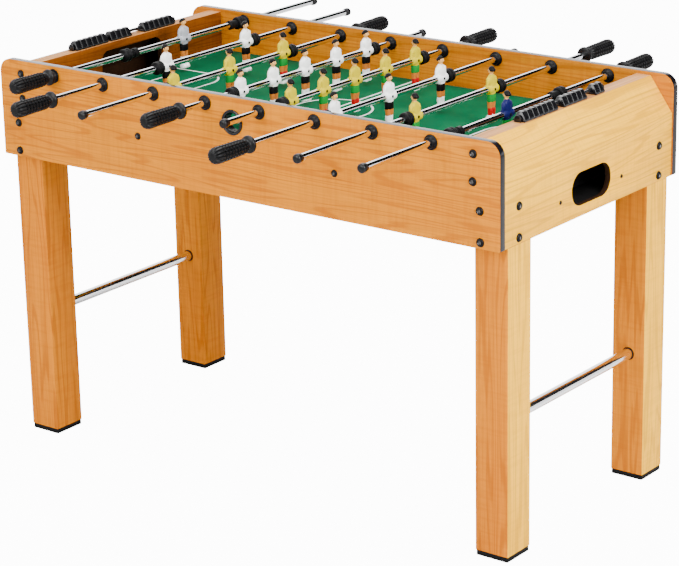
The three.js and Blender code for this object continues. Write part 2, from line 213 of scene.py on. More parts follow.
def laminate(name, grain_axis, light, middle, dark, rings=24.0):
    """Printed wood grain under a satin film: nested flame lines, fine pores and slow changes of tone."""
    material, tree, shader, place = new_material(name)

    def grain(along, across, detail=2.0, **look):
        """Noise that runs long with the grain."""
        scale = [across] * 3
        scale[grain_axis] = along
        stretched = add_node(tree, "ShaderNodeMapping", {"Vector": place, "Scale": scale})
        return noise(tree, stretched.outputs["Vector"], 1.0, detail, **look)

    turns = maths(tree, "MULTIPLY", grain(0.6, 10.0, 3.0, distortion=0.12), rings * 2 * math.pi)
    flames = remap(tree, maths(tree, "SINE", turns), 0.0, 1.0, -1.0, -0.35, interpolation_type="SMOOTHSTEP")
    pores = remap(tree, grain(6.0, 330.0, 3.0, roughness=0.6), 0.0, 1.0, 0.34, 0.6)
    figure = remap(tree, grain(150.0, 12.0), 0.0, FIGURE_SHADE, 0.45, 0.68)
    tone = ramp(tree, grain(2.0, 11.0), (0.32, middle), (0.66, light))
    for shade in (remap(tree, flames, FLAME_SHADE, 0.0), remap(tree, pores, PORE_SHADE, 0.0), figure):
        tone = blend(tree, shade, tone, dark)
    look = {
        "Base Color": tone,
        "Roughness": remap(tree, pores, 0.5, 0.36),
        "Normal": bumped(tree, pores, 0.06, 0.0004),
        "Specular IOR Level": 0.04,
    }
    feed(shader, look)
    return material


def moulded(name, colour, roughness, grain=900.0, relief=0.05, mottle=0.12, coat=0.0, gleam=0.3):
    """Moulded or painted plastic: a fine eggshell skin, with a slightly uneven tone and gloss."""
    material, tree, shader, place = new_material(name)
    cloud = noise(tree, place, grain / 18)
    darker = tuple(c * (1 - mottle) for c in colour[:3]) + (1.0,)
    lighter = tuple(min(1.0, c * (1 + mottle)) for c in colour[:3]) + (1.0,)
    look = {
        "Base Color": blend(tree, cloud, darker, lighter),
        "Roughness": remap(tree, cloud, roughness * 0.8, roughness * 1.2),
        "Normal": bumped(tree, noise(tree, place, grain, 3.0, 0.6), relief, 0.0003),
        "Specular IOR Level": gleam,
        "Coat Weight": coat,
        "Coat Roughness": 0.15,
    }
    feed(shader, look)
    return material


def filleted(corners, steps=10):
    """An outline through corners given as (a, b, radius), each rounded by its own radius."""
    points = []
    for i, (a, b, radius) in enumerate(corners):
        here = Vector((a, b))
        if radius == 0:
            points.append(here)
            continue
        back = (Vector(corners[i - 1][:2]) - here).normalized()
        ahead = (Vector(corners[(i + 1) % len(corners)][:2]) - here).normalized()
        half = back.angle(ahead) / 2
        centre = here + (back + ahead).normalized() * (radius / math.sin(half))
        start = here + back * (radius / math.tan(half)) - centre
        end = here + ahead * (radius / math.tan(half)) - centre
        first = math.atan2(start.y, start.x)
        sweep = math.atan2(start.cross(end), start.dot(end))
        for step in range(steps + 1):
            angle = first + sweep * step / steps
            points.append(centre + Vector((math.cos(angle), math.sin(angle))) * radius)
    return points


def rectangle(low, high, low_radius=0.0, high_radius=0.0, steps=10):
    """An outline between two corner points, with its lower and its upper corners rounded."""
    (a, b), (c, d) = low, high
    corners = [(a, b, low_radius), (c, b, low_radius), (c, d, high_radius), (a, d, high_radius)]
    return filleted(corners, steps)


def circle(a, b, radius, steps=48):
    """A round outline."""
    turn = 2 * math.pi / steps
    return [Vector((a + radius * math.cos(i * turn), b + radius * math.sin(i * turn))) for i in range(steps)]


def mesh_from(raw, name):
    """Turns finished raw geometry into a mesh."""
    mesh = bpy.data.meshes.new(name)
    raw.to_mesh(mesh)
    raw.free()
    return mesh


def board(name, outer, axis, span, *finishes, holes=()):
    """A flat board of this outline and these holes, reaching along `axis` over a span of two places."""
    start, end = sorted(span)
    order = {"X": (2, 0, 1), "Y": (0, 2, 1), "Z": (0, 1, 2)}[axis]
    raw = bmesh.new()
    for loop in [outer, *holes]:
        ring = [raw.verts.new(Vector([(a, b, start)[k] for k in order])) for a, b in loop]
        for i, corner in enumerate(ring):
            raw.edges.new((corner, ring[(i + 1) % len(ring)]))
    filled = bmesh.ops.triangle_fill(raw, edges=raw.edges[:], use_beauty=True)
    faces = [part for part in filled["geom"] if isinstance(part, bmesh.types.BMFace)]
    grown = bmesh.ops.extrude_face_region(raw, geom=faces)
    far = [part for part in grown["geom"] if isinstance(part, bmesh.types.BMVert)]
    push = Vector([(0, 0, end - start)[k] for k in order])
    bmesh.ops.translate(raw, verts=far, vec=push)
    bmesh.ops.recalc_face_normals(raw, faces=raw.faces[:])
    return add_object(name, mesh_from(raw, name), *finishes)


def cut(piece, *cutters):
    """Takes the cutters out of a piece and removes them."""
    for cutter in cutters:
        knife = piece.modifiers.new("cut", "BOOLEAN")
        knife.operation = "DIFFERENCE"
        knife.solver = "EXACT"
        knife.object = cutter
    piece.data = baked(piece)
    for cutter in cutters:
        bpy.data.objects.remove(cutter)


def baked(piece):
    """The plain mesh that a piece's modifiers make, once they are removed."""
    graph = bpy.context.evaluated_depsgraph_get()
    graph.update()
    plain = bpy.data.meshes.new_from_object(piece.evaluated_get(graph), depsgraph=graph)
    piece.modifiers.clear()
    return plain


def ease(piece, radius, steps=3, sharp=34.0):
    """Rounds the sharp edges of a piece and shades what is left smooth."""
    bevel = piece.modifiers.new("eased_edges", "BEVEL")
    bevel.width = radius
    bevel.segments = steps
    bevel.limit_method = "ANGLE"
    bevel.angle_limit = math.radians(sharp)
    piece.data = baked(piece)
    smooth(piece)


def smooth(piece, sharp=40.0):
    """Smooth shading, except over real corners."""
    piece.data.shade_smooth()
    piece.data.set_sharp_from_angle(angle=math.radians(sharp))


def paint_where(piece, slot_of):
    """Gives each face the material number that slot_of(normal, centre) says."""
    for face in piece.data.polygons:
        face.material_index = slot_of(face.normal, face.center)


def fix(piece, body, slot, *nodes):
    """Ties a finished piece to its body, and lets it stand for CAD nodes; the slot it is given is not used.
    """
    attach(piece, body)
    if nodes:
        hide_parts(*nodes)


panel_wood = laminate("panel_laminate", 0, rgb(215, 132, 7), rgb(205, 120, 2), rgb(166, 84, 0))
# The inner faces get a darker copy of the panel laminate: painted shade.
inner_painted_shade_wood = laminate("inner_painted_shade_laminate", 0, rgb(194, 118, 7), rgb(184, 106, 0), rgb(153, 77, 0))
edge_band = moulded("edge_band", rgb(14, 12, 16), 0.2, grain=500.0, relief=0.03, coat=0.1, gleam=0.22)

SIDES = {"front": -1, "back": 1}  # the way that each faces along Y
ENDS = {"left": -1, "right": 1}  # the way that each faces along X
CLEARANCE = 0.3 * MM
panel_low, panel_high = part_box("side_panel_front")
PANEL_FOOT, PANEL_CORNER = 3 * MM, 28 * MM
BEARING_BORE = 9.2 * MM
rod_axes = []
for number in range(1, 9):
    low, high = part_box(f"rod_{number}_tube")
    rod_axes.append(((low.x + high.x) / 2, (low.z + high.z) / 2))
cup_low, cup_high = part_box("ball_entry_cup")
cup_centre = (cup_low + cup_high) / 2
CUP_BORE = 21.3 * MM

for side, way in SIDES.items():
    low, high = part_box(f"side_panel_{side}")
    outline = rectangle((low.x, low.z), (high.x, high.z), PANEL_FOOT, PANEL_CORNER, steps=14)
    bores = [circle(x, z, BEARING_BORE, 32) for x, z in rod_axes]
    if side == "front":
        bores.append(circle(cup_centre.x, cup_centre.z, CUP_BORE))
    finishes = (panel_wood, inner_painted_shade_wood, edge_band)
    panel = board(f"side_panel_{side}_board", outline, "Y", (low.y, high.y), *finishes, holes=bores)
    ease(panel, 2.2 * MM)
    # Outer faces take the panel laminate, inner faces its darker copy as painted shade, and the edges take
    # the band.
    paint_where(panel, lambda normal, centre: 2 if abs(normal.y) < 0.97 else 0 if normal.y * way > 0 else 1)
    fix(panel, "cabinet", "panel_laminate", f"side_panel_{side}")

# ---------------------------------------------------------------------------------------------------
# End boxes. One laminated board is folded into goal wall, scorer shelf, slope and end board, screwed
# between the side panels. The goal mouth and the ball return are routed through it.

# The outside of the end board gets a paler copy of the laminate: painted light.
end_painted_light_wood = laminate("end_laminate", 1, rgb(243, 179, 25), rgb(235, 167, 16), rgb(188, 129, 3), rings=18.0)
# The goal wall's field side gets a darker copy of the laminate: painted shade.
goal_painted_shade_wood = laminate("goal_wall_painted_shade_laminate", 1, rgb(124, 66, 16), rgb(108, 55, 10), rgb(80, 36, 3))
shelf_wood = laminate("shelf_laminate", 1, rgb(197, 142, 85), rgb(184, 126, 72), rgb(149, 93, 48), rings=18.0)
raw_look = {"grain": 1600.0, "relief": 0.5, "mottle": 0.25, "gleam": 0.05}
raw_board = moulded("raw_board_edge", rgb(40, 24, 13), 0.85, **raw_look)
tray_black = moulded("ball_tray", rgb(9, 8, 8), 0.6, grain=700.0, relief=0.2, gleam=0.07)

BOARD = 12 * MM
SHELF_WIDTH = 31 * MM
SHELF_DROP = 6 * MM
SLOPE_HEIGHT = 69 * MM
APRON_IN_GOAL = 105 * MM  # height of the goal wall's foot over the bottom of the end board
GOAL_HALF, GOAL_HEIGHT, GOAL_CORNER = 93 * MM, 68 * MM, 20 * MM
RETURN_HALF, RETURN_HEIGHT, RETURN_SILL = 67 * MM, 64 * MM, 21 * MM
RETURN_CORNER = 31 * MM
LEG_SPACER, LEG_ROOM = 13.2 * MM, 72 * MM
TRAY_WALL, TRAY_START, TRAY_BACK = 10 * MM, 6 * MM, 5.8 * MM

field_low, field_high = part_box("playing_field")
middle_y = (panel_low.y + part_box("side_panel_back")[1].y) / 2
end_faces = {}

for end, out in ENDS.items():
    low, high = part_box(f"end_box_{end}")
    wall_x, face_x = (low.x, high.x) if out > 0 else (high.x, low.x)
    end_faces[end] = face_x
    wall_back, face_back = wall_x + out * BOARD, face_x - out * BOARD
    shelf_z = panel_high.z - SHELF_DROP
    slope_foot = shelf_z - SLOPE_HEIGHT
    shelf_x = wall_x + out * SHELF_WIDTH
    slope = math.atan2(SLOPE_HEIGHT, abs(face_x - shelf_x))
    shelf_fold = (shelf_x - out * BOARD * math.tan(slope / 2), shelf_z - BOARD)
    outer_fold = (face_back, slope_foot - BOARD * math.tan((math.pi / 2 - slope) / 2))
    wall_foot = low.z + APRON_IN_GOAL
    section = [
        (wall_x, wall_foot),
        (wall_back, wall_foot),
        (wall_back, shelf_z - BOARD),
        shelf_fold,
        outer_fold,
        (face_back, low.z),
        (face_x, low.z),
        (face_x, slope_foot),
        (shelf_x, shelf_z),
        (wall_x, shelf_z),
    ]
    finishes = (end_painted_light_wood, goal_painted_shade_wood, raw_board, shelf_wood)
    folded = board(f"end_board_{end}", section, "Y", (low.y, high.y), *finishes)
    goal_top = field_high.z + GOAL_HEIGHT
    mouth_edge = rectangle(
        (middle_y - GOAL_HALF, field_high.z), (middle_y + GOAL_HALF, goal_top), 0.0, GOAL_CORNER
    )
    mouth = board("mouth", mouth_edge, "X", (wall_x - out * BOARD, wall_x + out * 2 * BOARD))
    sill = low.z + RETURN_SILL
    hole_low, hole_high = (middle_y - RETURN_HALF, sill), (middle_y + RETURN_HALF, sill + RETURN_HEIGHT)
    hole_edge = rectangle(hole_low, hole_high, RETURN_CORNER, RETURN_CORNER, steps=16)
    hole = board("hole", hole_edge, "X", (face_x - out * 2 * BOARD, face_x + out * BOARD))
    cut(folded, mouth, hole)
    ease(folded, 0.6 * MM, steps=2)

    def end_finish(normal, centre, wall_x=wall_x, face_x=face_x, out=out):
        """The field side takes a darker copy of the laminate as painted shade, the outside a paler copy as
        painted light, and cut edges show raw board.
        """
        if normal.x * out < -0.9 and abs(centre.x - wall_x) < MM:
            return 1
        if normal.z > 0.9 and centre.z > slope_foot:
            return 3
        outside = abs(centre.x - face_x) < MM or centre.z > slope_foot and normal.z + normal.x * out > 0.5
        if outside and abs(normal.y) < 0.5:
            return 0
        return 2

    paint_where(folded, end_finish)
    fix(folded, "cabinet", "end_laminate", f"end_box_{end}")

    # Cheeks beside the legs close the box between the end board and the side panels
    notch_x = face_x - out * LEG_ROOM
    cheek_section = [
        (wall_back, wall_foot),
        (notch_x, wall_foot),
        (notch_x, low.z),
        (face_back, low.z),
        outer_fold,
        shelf_fold,
        (wall_back, shelf_z - BOARD),
    ]
    for side, edge in (("front", low.y), ("back", high.y)):
        span = (edge, edge - SIDES[side] * LEG_SPACER)
        cheek = board(f"cheek_{end}_{side}", cheek_section, "Y", span, panel_wood)
        ease(cheek, 0.4 * MM, steps=2)
        fix(cheek, "cabinet", "panel_laminate")

    # The tray behind the end board catches the balls and lets them roll to the return opening
    front_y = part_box(f"leg_front_{end}")[1].y + CLEARANCE
    back_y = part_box(f"leg_back_{end}")[0].y - CLEARANCE
    tray_floor, tray_rim = sill - TRAY_WALL, wall_foot - MM
    trough = [
        (front_y, tray_floor),
        (back_y, tray_floor),
        (back_y, tray_rim),
        (back_y - TRAY_WALL, tray_rim),
        (back_y - TRAY_WALL, sill),
        (front_y + TRAY_WALL, sill),
        (front_y + TRAY_WALL, tray_rim),
        (front_y, tray_rim),
    ]
    closing = rectangle((front_y, tray_floor), (back_y, tray_rim))
    for name, outline, span in (
        (f"ball_tray_{end}", trough, (wall_x + out * TRAY_START, face_back)),
        (f"ball_tray_back_{end}", closing, (wall_x, wall_x + out * TRAY_BACK)),
    ):
        tray = board(name, outline, "X", span, tray_black)
        ease(tray, 0.8 * MM, steps=2)
        fix(tray, "cabinet", "black_plastic")

# ---------------------------------------------------------------------------------------------------
# Playing field. A thin board printed glossy green, resting between the goal walls, with white lines
# printed on it: halfway line, centre circle, a goal area and a round-cornered penalty area at each end.

field_paint, tree, shader, place = new_material("field_green")
tone = ramp(tree, noise(tree, place, 14.0, 3.0), (0.3, rgb(3, 75, 46)), (0.7, rgb(10, 91, 57)))
fibre = noise(tree, place, 600.0, 4.0)
field_look = {
    "Base Color": blend(tree, 0.25, tone, fibre, blend_type="SOFT_LIGHT"),
    "Normal": bumped(tree, noise(tree, place, 9.0, 1.0), 0.25, 0.004),
    "Roughness": remap(tree, fibre, 0.32, 0.5),
    "Specular IOR Level": 0.004,
}
feed(shader, field_look)

field_edge = rectangle((field_low.x, field_low.y), (field_high.x, field_high.y))
field = board("playing_field_board", field_edge, "Z", (field_low.z, field_high.z), field_paint)
ease(field, 0.4 * MM, steps=2)
fix(field, "cabinet", "field_green", "playing_field")

LINE_WIDTH, LINE_HEIGHT = 4.5 * MM, 0.2 * MM
LINE_END = 2 * MM  # how far the halfway line stops short of the field's edge
CENTRE_CIRCLE = 82 * MM
PENALTY_AREA = (182 * MM, 100 * MM, 62 * MM)  # (depth, half width, corner)
GOAL_AREA = (62 * MM, 62 * MM, 12 * MM)


def open_tree(name, **inputs):
    """A geometry node tree that geometry goes through, with more inputs given as name=kind of socket."""
    made = bpy.data.node_groups.new(name, "GeometryNodeTree")
    for label, kind in {"Geometry": "Geometry", **inputs}.items():
        made.interface.new_socket(label, in_out="INPUT", socket_type=f"NodeSocket{kind}")
    made.interface.new_socket("Geometry", in_out="OUTPUT", socket_type="NodeSocketGeometry")
    return made, add_node(made, "NodeGroupInput").outputs


def close_tree(tree, geometry, paint):
    """Makes the copies real, paints them and lets them out of the tree."""
    real = add_node(tree, "GeometryNodeRealizeInstances", {"Geometry": geometry})
    painted = add_node(tree, "GeometryNodeSetMaterial", {"Geometry": real.outputs[0], "Material": paint})
    add_node(tree, "NodeGroupOutput", {"Geometry": painted.outputs["Geometry"]})
    return tree


def line_tree(paint):
    """Geometry nodes that sweep a flat strip of paint along curves, with the strip's width and height."""
    made, given = open_tree("painted_line", Width="Float", Height="Float")
    size = {"Width": given["Width"], "Height": given["Height"]}
    strip = add_node(made, "GeometryNodeCurvePrimitiveQuadrilateral", size).outputs["Curve"]
    inputs = {"Curve": given["Geometry"], "Profile Curve": strip, "Fill Caps": True}
    swept = add_node(made, "GeometryNodeCurveToMesh", inputs)
    return close_tree(made, swept.outputs["Mesh"], paint)


def grow(name, source, tree, **sizes):
    """Runs a node tree on a source object and keeps the result as a plain mesh object."""
    host = add_object(name + "_source", source)
    grown = host.modifiers.new("grow", "NODES")
    grown.node_group = tree
    for item in tree.interface.items_tree:
        if item.in_out == "INPUT" and item.name in sizes:
            grown[item.identifier] = sizes[item.name]
    host.update_tag()
    mesh = baked(host)
    bpy.data.objects.remove(host)
    return add_object(name, mesh)


def paths(name, *routes):
    """Straight-edged curves through points, each given as (points, closed)."""
    made = bpy.data.curves.new(name, "CURVE")
    made.dimensions = "3D"
    for points, closed in routes:
        spline = made.splines.new("POLY")
        spline.points.add(len(points) - 1)
        for point, where in zip(spline.points, points):
            point.co = (*where, 1.0)
        spline.use_cyclic_u = closed
    return made


line_white = moulded("line_white", rgb(238, 240, 236), 0.4, grain=300.0, relief=0.02, mottle=0.05)
line_z = field_high.z + LINE_HEIGHT / 2
halfway = [(0.0, field_low.y + LINE_END, line_z), (0.0, field_high.y - LINE_END, line_z)]
routes = [
    ([(x, y, line_z) for x, y in circle(0.0, middle_y, CENTRE_CIRCLE, 72)], True),
    (halfway, False),
]
for out in (-1, 1):
    goal_x = out * field_high.x
    for depth, half, corner in (PENALTY_AREA, GOAL_AREA):
        inner_x = goal_x - out * depth
        box_line = [
            (goal_x, middle_y - half, 0),
            (inner_x, middle_y - half, corner),
            (inner_x, middle_y + half, corner),
            (goal_x, middle_y + half, 0),
        ]
        routes.append(([(x, y, line_z) for x, y in filleted(box_line)], False))
line_sizes = {"Width": LINE_WIDTH, "Height": LINE_HEIGHT}
field_lines = grow("field_lines", paths("field_line_routes", *routes), line_tree(line_white), **line_sizes)
fix(field_lines, "cabinet", "field_green")

# ---------------------------------------------------------------------------------------------------
# Legs. Four hollow square posts folded from laminated board, with the grain upright. Each is rebated
# behind its end board and stands on a black plastic foot. A chromed tube braces each pair of legs.

leg_wood = laminate("leg_laminate", 2, rgb(212, 125, 3), rgb(203, 114, 2), rgb(162, 80, 0), rings=20.0)
# The legs' faces turned to the end get a paler copy of the laminate: painted light.
leg_painted_light = (rgb(243, 181, 29), rgb(236, 170, 18), rgb(191, 132, 3))
leg_painted_light_wood = laminate("leg_painted_light_laminate", 2, *leg_painted_light, rings=20.0)
foot_black = moulded("foot_black", rgb(9, 9, 10), 0.6, grain=900.0, relief=0.15, gleam=0.07)
FOOT_HEIGHT = 10.5 * MM
FOOT_INSET = 0.8 * MM
FOOT_CORNER = 3 * MM
LEG_WALL, LEG_EDGE = 12 * MM, 1.6 * MM
BRACE_SOCKET, BRACE_SEAT = 11.4 * MM, 9 * MM
BRACE_WALL, BRACE_LIP = 1.2 * MM, 0.3 * MM
BRACE_RING = [  # (radius, distance from the leg)
    (11.2, 0.1), (13.0, 0.1), (13.0, 0.9), (12.6, 1.4), (11.5, 1.5), (11.2, 1.3),
]


def chromed(name, smoothest, roughest):
    """Chrome plate with faint rings of wear round the tube."""
    material, tree, shader, place = new_material(name)
    wiped = add_node(tree, "ShaderNodeMapping", {"Vector": place, "Scale": (900.0, 12.0, 900.0)})
    wear = noise(tree, wiped.outputs["Vector"], 1.0, 3.0)
    look = {
        "Metallic": 1.0,
        "Base Color": blend(tree, wear, rgb(226, 228, 232), rgb(246, 246, 248)),
        "Roughness": remap(tree, wear, smoothest, roughest),
    }
    feed(shader, look)
    return material


brace_chrome = chromed("brace_chrome", 0.16, 0.19)


def turned(name, profile, segments=32, closed=False, centre=(0.0, 0.0, 0.0)):
    """A piece turned about an axis along Y through centre, from (radius, y) points."""
    raw = bmesh.new()
    rings = []
    for radius, along in profile:
        if radius == 0:
            rings.append([raw.verts.new((0.0, along, 0.0))])
            continue
        ring = []
        for i in range(segments):
            angle = 2 * math.pi * i / segments
            ring.append(raw.verts.new((radius * math.cos(angle), along, radius * math.sin(angle))))
        rings.append(ring)
    pairs = list(zip(rings, rings[1:] + ([rings[0]] if closed else [])))
    for one, two in pairs:
        for i in range(segments):
            j = (i + 1) % segments
            quad = [one[i % len(one)], one[j % len(one)], two[j % len(two)], two[i % len(two)]]
            corners = list(dict.fromkeys(quad))
            if len(corners) > 2:
                raw.faces.new(corners)
    bmesh.ops.recalc_face_normals(raw, faces=raw.faces[:])
    bmesh.ops.translate(raw, verts=raw.verts[:], vec=Vector(centre))
    return mesh_from(raw, name)


def turned_piece(name, profile, axis_at, finish, body, slot, *nodes, sides=40, closed=True, sharp=40.0):
    """A finished piece turned about the line along Y through (x, z)."""
    mesh = turned(name, profile, sides, closed, centre=(axis_at[0], 0.0, axis_at[1]))
    piece = add_object(name, mesh, finish)
    smooth(piece, sharp)
    fix(piece, body, slot, *nodes)


def pipe(radius, wall, lip, start, end):
    """The profile of a tube with eased outer edges."""
    one_end = [(radius - wall, start), (radius - lip, start), (radius, start + lip)]
    return one_end + [(radius, end - lip), (radius - lip, end), (radius - wall, end)]


def along_y(shape, start=0.0, way=1):
    """A profile listed in millimetres as (radius, distance), set along Y from a place."""
    return [(radius * MM, start + way * distance * MM) for radius, distance in shape]


for end, out in ENDS.items():
    apron_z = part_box(f"end_box_{end}")[0].z
    brace_low, brace_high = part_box(f"leg_brace_{end}")
    brace = (brace_low + brace_high) / 2
    leg_faces = {}
    for side, way in SIDES.items():
        low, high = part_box(f"leg_{side}_{end}")
        core = rectangle((low.x + LEG_WALL, low.y + LEG_WALL), (high.x - LEG_WALL, high.y - LEG_WALL))
        outline = rectangle((low.x, low.y), (high.x, high.y), LEG_EDGE, LEG_EDGE, steps=4)
        span = (low.z + FOOT_HEIGHT, high.z)
        woods = (leg_wood, leg_painted_light_wood)
        post = board(f"leg_{side}_{end}_post", outline, "Z", span, *woods, holes=[core])
        near_x, far_x = sorted((end_faces[end] + out * MM, end_faces[end] - out * (BOARD + CLEARANCE)))
        step = rectangle((near_x, low.y - MM), (far_x, high.y + MM))
        rebate = board("rebate", step, "Z", (apron_z - CLEARANCE, high.z + MM))
        inner_y = high.y if side == "front" else low.y
        leg_faces[side] = inner_y
        seat = circle(brace.x, brace.z, BRACE_SOCKET, 40)
        socket = board("socket", seat, "Y", (inner_y + way * BRACE_SEAT, inner_y - way * MM))
        cut(post, rebate, socket)
        smooth(post, 30.0)
        # Faces turned to the end take the pale copy as painted light, and the rest take the plain laminate.
        paint_where(post, lambda normal, centre: 1 if normal.x * out > 0.7 else 0)
        fix(post, "cabinet", "leg_laminate", f"leg_{side}_{end}")
        pad_low = (low.x + FOOT_INSET, low.y + FOOT_INSET)
        pad_high = (high.x - FOOT_INSET, high.y - FOOT_INSET)
        sole = rectangle(pad_low, pad_high, FOOT_CORNER, FOOT_CORNER, steps=5)
        pad = board(f"foot_{side}_{end}", sole, "Z", (low.z, low.z + FOOT_HEIGHT), foot_black)
        ease(pad, 1.2 * MM)
        fix(pad, "cabinet", "black_plastic")
    radius = (brace_high.z - brace_low.z) / 2
    tube = pipe(radius, BRACE_WALL, BRACE_LIP, brace_low.y, brace_high.y)
    brace_at = (brace.x, brace.z)
    tied = ("cabinet", "chrome_tube", f"leg_brace_{end}")
    turned_piece(f"leg_brace_{end}_tube", tube, brace_at, brace_chrome, *tied, sides=48)
    # A thin black ring stands round the brace where it goes into each leg
    for side, way in SIDES.items():
        profile = along_y(BRACE_RING, leg_faces[side], -way)
        tied = ("cabinet", "black_plastic")
        turned_piece(f"brace_ring_{end}_{side}", profile, brace_at, foot_black, *tied, sides=48)

# ---------------------------------------------------------------------------------------------------
# Rod bearings. Every rod turns and slides in two black nylon bearings, one in each side panel. Each is
# a sleeve with a flange and a stepped boss on both faces of the panel.

bearing_black = moulded("bearing_black", rgb(12, 12, 14), 0.3, grain=900.0, relief=0.04, gleam=0.07)
BEARING_FACE = [  # (radius, distance from the panel's face), from the sleeve out to the rod
    (9.0, 0.15), (14.2, 0.15), (14.5, 0.5), (14.5, 1.7), (14.1, 2.4), (12.6, 3.1), (11.2, 3.3),
    (10.7, 4.0), (10.3, 6.6), (9.8, 7.4), (8.9, 7.9), (7.5, 8.0), (6.9, 7.8), (6.7, 7.2),
]


def row_tree(name, paint):
    """Geometry nodes that set one part on every point, its +Y turned to the way the point faces."""
    made, given = open_tree(name, Part="Object")
    part = add_node(made, "GeometryNodeObjectInfo", {"Object": given["Part"]})
    facing = add_node(made, "GeometryNodeInputNamedAttribute", {"Name": "facing"}, data_type="FLOAT_VECTOR")
    size = add_node(made, "GeometryNodeInputNamedAttribute", {"Name": "size"}, data_type="FLOAT")
    way = {"Vector": facing.outputs["Attribute"]}
    aimed = add_node(made, "FunctionNodeAlignRotationToVector", way, axis="Y")
    inputs = {
        "Points": given["Geometry"],
        "Instance": part.outputs["Geometry"],
        "Rotation": aimed.outputs["Rotation"],
        "Scale": size.outputs["Attribute"],
    }
    placed = add_node(made, "GeometryNodeInstanceOnPoints", inputs)
    return close_tree(made, placed.outputs["Instances"], paint)


def row_of(name, part_mesh, paint, places):
    """One object made of a part repeated at places given as (place, facing, size)."""
    spots = bpy.data.meshes.new(name + "_spots")
    spots.from_pydata([place for place, _, _ in places], [], [])
    spots.attributes.new("facing", "FLOAT_VECTOR", "POINT")
    spots.attributes.new("size", "FLOAT", "POINT")
    for i, (_, way, scale) in enumerate(places):
        spots.attributes["facing"].data[i].vector = way
        spots.attributes["size"].data[i].value = scale
    part = add_object(name + "_part", part_mesh)
    made = grow(name, spots, row_tree(name + "_row", paint), Part=part)
    bpy.data.objects.remove(part)
    smooth(made, 32.0)
    return made


half_panel = (panel_high.y - panel_low.y) / 2
outer_half = along_y(BEARING_FACE, half_panel)
inner_half = [(radius, -along) for radius, along in reversed(outer_half)]
bearing_mesh = turned("bearing", outer_half + inner_half, 40, closed=True)
bearing_spots = [
    ((x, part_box(f"side_panel_{side}")[0].y + half_panel, z), (0.0, way, 0.0), 1.0)
    for side, way in SIDES.items()
    for x, z in rod_axes
]
bearings = row_of("rod_bearings", bearing_mesh, bearing_black, bearing_spots)
fix(bearings, "cabinet", "black_plastic")

# ---------------------------------------------------------------------------------------------------
# Bolts. Black round-headed bolts with a bright hexagon socket hold panels, legs and end boards. Two
# small countersunk screws beside each ball return hold the tray.

bolt_black = moulded("bolt_black", rgb(12, 12, 13), 0.3, grain=700.0, relief=0.03, gleam=0.07)
bolt_socket = moulded("bolt_socket", rgb(88, 86, 86), 0.3, grain=700.0, relief=0.03)
bolt_socket.node_tree.nodes["Principled BSDF"].inputs["Metallic"].default_value = 0.9
BOLT_DOME = [  # this and the next two as (radius, distance from the wood)
    (2.9, 1.3), (2.9, 2.9), (3.2, 3.1), (4.2, 2.75), (5.2, 1.9), (5.8, 0.9), (6.0, 0.15), (5.6, 0.1),
    (2.9, 0.1),
]
BOLT_HEXAGON = [(0.0, 1.0), (2.2, 1.0), (2.7, 1.4), (2.7, 2.7), (2.85, 2.9), (2.86, 0.3), (0.0, 0.3)]
SCREW = [(0.0, 0.35), (0.9, 0.35), (1.1, 0.9), (2.0, 0.7), (2.5, 0.1), (0.0, 0.05)]
SIDE_BOLTS = [  # (distance from the middle, height, size)
    (550, 783, 1.4), (549, 732, 1.4), (564, 680, 1.4), (565, 622, 1.4), (241, 699, 1.2),
]
END_BOLT_ACROSS, END_BOLT_HEIGHTS, END_BOLT_SIZE = 243, (681, 622), 1.4
SCREW_ACROSS, SCREW_HEIGHT, SCREW_SIZE = 106, 653, 1.7

bolt_mesh = turned("bolt", along_y(BOLT_DOME), 32, closed=True)
socket_mesh = turned("bolt_socket", along_y(BOLT_HEXAGON), 6)
screw_mesh = turned("screw", along_y(SCREW), 20)


def end_spots(across, heights, size):
    """Places on both end boards, the same distance across to either side of the middle."""
    return [
        ((end_faces[end], middle_y + way * across * MM, height * MM), (out, 0.0, 0.0), size)
        for end, out in ENDS.items()
        for way in (-1, 1)
        for height in heights
    ]


bolt_spots = [
    ((out * along * MM, y, height * MM), (0.0, way, 0.0), size)
    for y, way in ((panel_low.y, -1.0), (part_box("side_panel_back")[1].y, 1.0))
    for out in (-1, 1)
    for along, height, size in SIDE_BOLTS
]
bolt_spots += end_spots(END_BOLT_ACROSS, END_BOLT_HEIGHTS, END_BOLT_SIZE)
screw_spots = end_spots(SCREW_ACROSS, (SCREW_HEIGHT,), SCREW_SIZE)
for name, part, finish, spots, slot in (
    ("bolts", bolt_mesh, bolt_black, bolt_spots, "black_plastic"),
    ("bolt_sockets", socket_mesh, bolt_socket, bolt_spots, "chrome_tube"),
    ("tray_screws", screw_mesh, bolt_black, screw_spots, "black_plastic"),
):
    fix(row_of(name, part, finish, spots), "cabinet", slot)

# ---------------------------------------------------------------------------------------------------
# Ball entry cup. A glossy black ring through the front panel, with a funnel mouth. The ball is dropped
# in through it and rolls on to the middle of the field.

